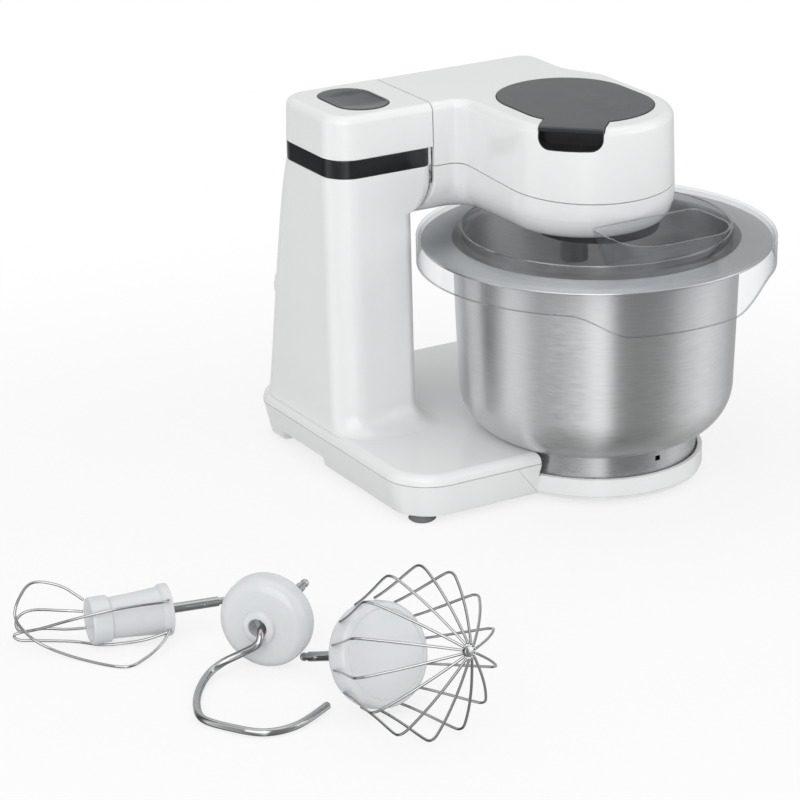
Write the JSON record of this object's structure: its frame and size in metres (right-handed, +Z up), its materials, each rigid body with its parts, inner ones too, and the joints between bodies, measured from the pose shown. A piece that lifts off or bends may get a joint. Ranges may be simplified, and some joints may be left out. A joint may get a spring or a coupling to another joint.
{
  "type": "stand mixer",
  "caption": "Compact stand mixer: tilting drive head on a side tower over a steel bowl with clear splash lid, tools laid out in front.",
  "frame": {"origin": "centre of the whole set's footprint, on the worktop", "axes": "+Z up, +Y from the filling chute's side to the tower's far side, +X from the tower towards the bowl"},
  "size_m": [0.5934, 0.5275, 0.2615],
  "materials": {
    "white_shell": "gloss",
    "dark_band": "gloss",
    "dark_plastic": "satin",
    "grey_plastic": "satin",
    "button_grey": "satin",
    "rubber": "matt",
    "bowl_steel": "brushed",
    "bright_steel": "polished",
    "plain_steel": "plain",
    "clear_lid": "clear moulded plastic",
    "copper": "wound wire and copper bars",
    "board": "matt"
  },
  "bodies": {
    "base": {"bottom_tray": "white_shell", "base_housing": "white_shell", "tower_band": "dark_band", "tower_cap": "white_shell", "rubber_feet": "rubber", "housing_screws": "plain_steel", "hinge_bracket": "plain_steel", "hinge_pins": "plain_steel", "control_board": "board", "speed_switch": "grey_plastic", "cord_gland": "dark_plastic", "button_spring": "plain_steel"},
    "head": {"head_upper_shell": "white_shell", "head_lower_shell": "white_shell", "head_screws": "plain_steel", "hinge_arms": "plain_steel", "gear_plate": "plain_steel", "brush_holders": "dark_plastic", "motor_stator": "plain_steel", "motor_cradle": "grey_plastic", "motor_end_cap": "dark_plastic", "layshaft_bridge": "plain_steel", "shaft_bearings": "grey_plastic", "ring_gear": "grey_plastic"},
    "cover": {"drive_cover": "button_grey"},
    "button": {"release_button": "button_grey"},
    "latch": {"release_latch": "dark_plastic"},
    "knob": {"speed_knob": "dark_plastic"},
    "armature": {"motor_shaft": "plain_steel", "motor_armature": "plain_steel", "armature_windings": "copper", "motor_commutator": "copper", "motor_fan": "grey_plastic"},
    "countershaft": {"lay_gear": "grey_plastic", "lay_pinion": "plain_steel", "layshaft": "plain_steel", "blender_coupling": "dark_plastic"},
    "carrier": {"drive_carrier": "plain_steel", "carrier_gear": "grey_plastic", "spindle_bush": "grey_plastic"},
    "spindle": {"tool_spindle": "bright_steel", "planet_gear": "grey_plastic"},
    "bowl": {"bowl": "bowl_steel", "bowl_foot": "bowl_steel"},
    "lid": {"lid": "clear_lid"},
    "stir_whisk": {"stir_whisk_hub": "white_shell", "stir_whisk_shaft": "bright_steel", "stir_whisk_wires": "bright_steel"},
    "dough_hook": {"dough_hook_dome": "white_shell", "dough_hook_shaft": "bright_steel", "dough_hook_wire": "bright_steel"},
    "beat_whisk": {"beat_whisk_hub": "white_shell", "beat_whisk_shaft": "bright_steel", "beat_whisk_wires": "bright_steel"}
  },
  "joints": [
    {"name": "head_tilt", "type": "hinge", "parent": "base", "child": "head", "pos_m": [0.0565, 0.17645, 0.2542], "axis": [0, -1, 0], "range_deg": [0, 40]},
    {"name": "cover_lift", "type": "slide", "parent": "head", "child": "cover", "axis": [0, 0, 1], "range_m": [0, 0.03]},
    {"name": "button_press", "type": "slide", "parent": "base", "child": "button", "axis": [0, 0, -1], "range_m": [0, 0.0025], "stiffness_N_per_m": 900, "springref_m": -0.0015, "deforming": ["button_spring"]},
    {"name": "latch_slide", "type": "slide", "parent": "base", "child": "latch", "axis": [-1, 0, 0], "range_m": [0, 0.002]},
    {"name": "knob_turn", "type": "hinge", "parent": "base", "child": "knob", "pos_m": [0.041, 0.24712, 0.112], "axis": [0, 1, 0], "range_deg": [-30, 120]},
    {"name": "armature_spin", "type": "hinge", "parent": "head", "child": "armature", "pos_m": [0.1695, 0.15773, 0.237], "axis": [0, 0, 1], "continuous": true},
    {"name": "countershaft_spin", "type": "hinge", "parent": "head", "child": "countershaft", "pos_m": [0.1695, 0.10573, 0.225], "axis": [0, 0, 1], "continuous": true},
    {"name": "carrier_spin", "type": "hinge", "parent": "head", "child": "carrier", "pos_m": [0.1735, 0.0697, 0.19], "axis": [0, 0, 1], "continuous": true},
    {"name": "spindle_spin", "type": "hinge", "parent": "carrier", "child": "spindle", "pos_m": [0.15001, 0.06115, 0.18], "axis": [0, 0, 1], "continuous": true},
    {"name": "bowl_turn", "type": "hinge", "parent": "base", "child": "bowl", "pos_m": [0.1735, 0.0697, 0.012], "axis": [0, 0, 1], "range_deg": [0, 25]},
    {"name": "lid_turn", "type": "hinge", "parent": "bowl", "child": "lid", "pos_m": [0.1735, 0.0697, 0.171], "axis": [0, 0, 1], "range_deg": [-8, 15]},
    {"name": "stir_whisk_lift", "type": "slide", "parent": "base", "child": "stir_whisk", "axis": [0, 0, 1], "range_m": [0, 0.12]},
    {"name": "dough_hook_lift", "type": "slide", "parent": "base", "child": "dough_hook", "axis": [-0.2996, 0.0999, 0.9488], "range_m": [0, 0.12]},
    {"name": "beat_whisk_lift", "type": "slide", "parent": "base", "child": "beat_whisk", "axis": [0.1562, -0.9236, 0.3502], "range_m": [0, 0.12]}
  ],
  "couplings": [
    {"joint": "countershaft_spin", "follows": "armature_spin", "ratio": -0.10638},
    {"joint": "carrier_spin", "follows": "armature_spin", "ratio": 0.027752},
    {"joint": "spindle_spin", "follows": "armature_spin", "ratio": -0.097132},
    {"joint": "latch_slide", "follows": "button_press", "ratio": 0.8}
  ]
}
